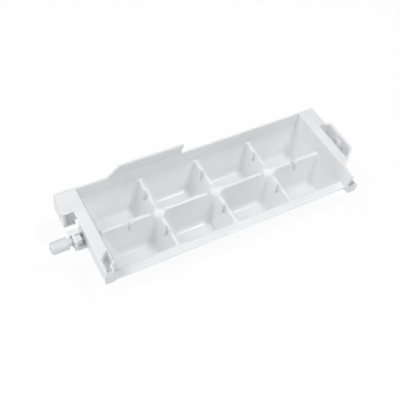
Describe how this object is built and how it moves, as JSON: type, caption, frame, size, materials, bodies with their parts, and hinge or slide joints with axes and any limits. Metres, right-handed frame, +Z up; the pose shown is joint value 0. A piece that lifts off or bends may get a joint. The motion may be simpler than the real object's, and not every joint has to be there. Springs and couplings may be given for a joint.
{
  "type": "twist ice tray of an automatic ice maker",
  "caption": "White plastic ice tray in two rows of tapered cavities, with a journal at one end and a keyed drive bore in a bracket at the other.",
  "frame": {"origin": "centre of the tray's overall footprint, on the plane of the cavity bottoms", "axes": "+X along the turning axis towards the keyed drive end, +Y from the low front edge to the raised back wall, +Z up out of the cavities"},
  "size_m": [0.2794, 0.0846, 0.052],
  "materials": {
    "tray_white": "satin",
    "journal_white": "smooth",
    "cover_white": "fine texture",
    "sensor_ivory": "smooth",
    "potting_epoxy": "smooth",
    "bead_glass": "smooth",
    "pad_foam": "matte"
  },
  "bodies": {
    "tray": {"ice_tray": "tray_white", "journal_shaft": "journal_white", "stem_block": "journal_white"},
    "cover": {"sensor_cover": "cover_white", "sensor_pad": "pad_foam", "sensor_capsule": "sensor_ivory", "sensor_potting": "potting_epoxy", "thermistor_bead": "bead_glass"}
  },
  "joints": [
    {"name": "cover_pull_off", "type": "slide", "parent": "tray", "child": "cover", "axis": [0, 0, -1], "range_m": [0, 0.04]}
  ]
}
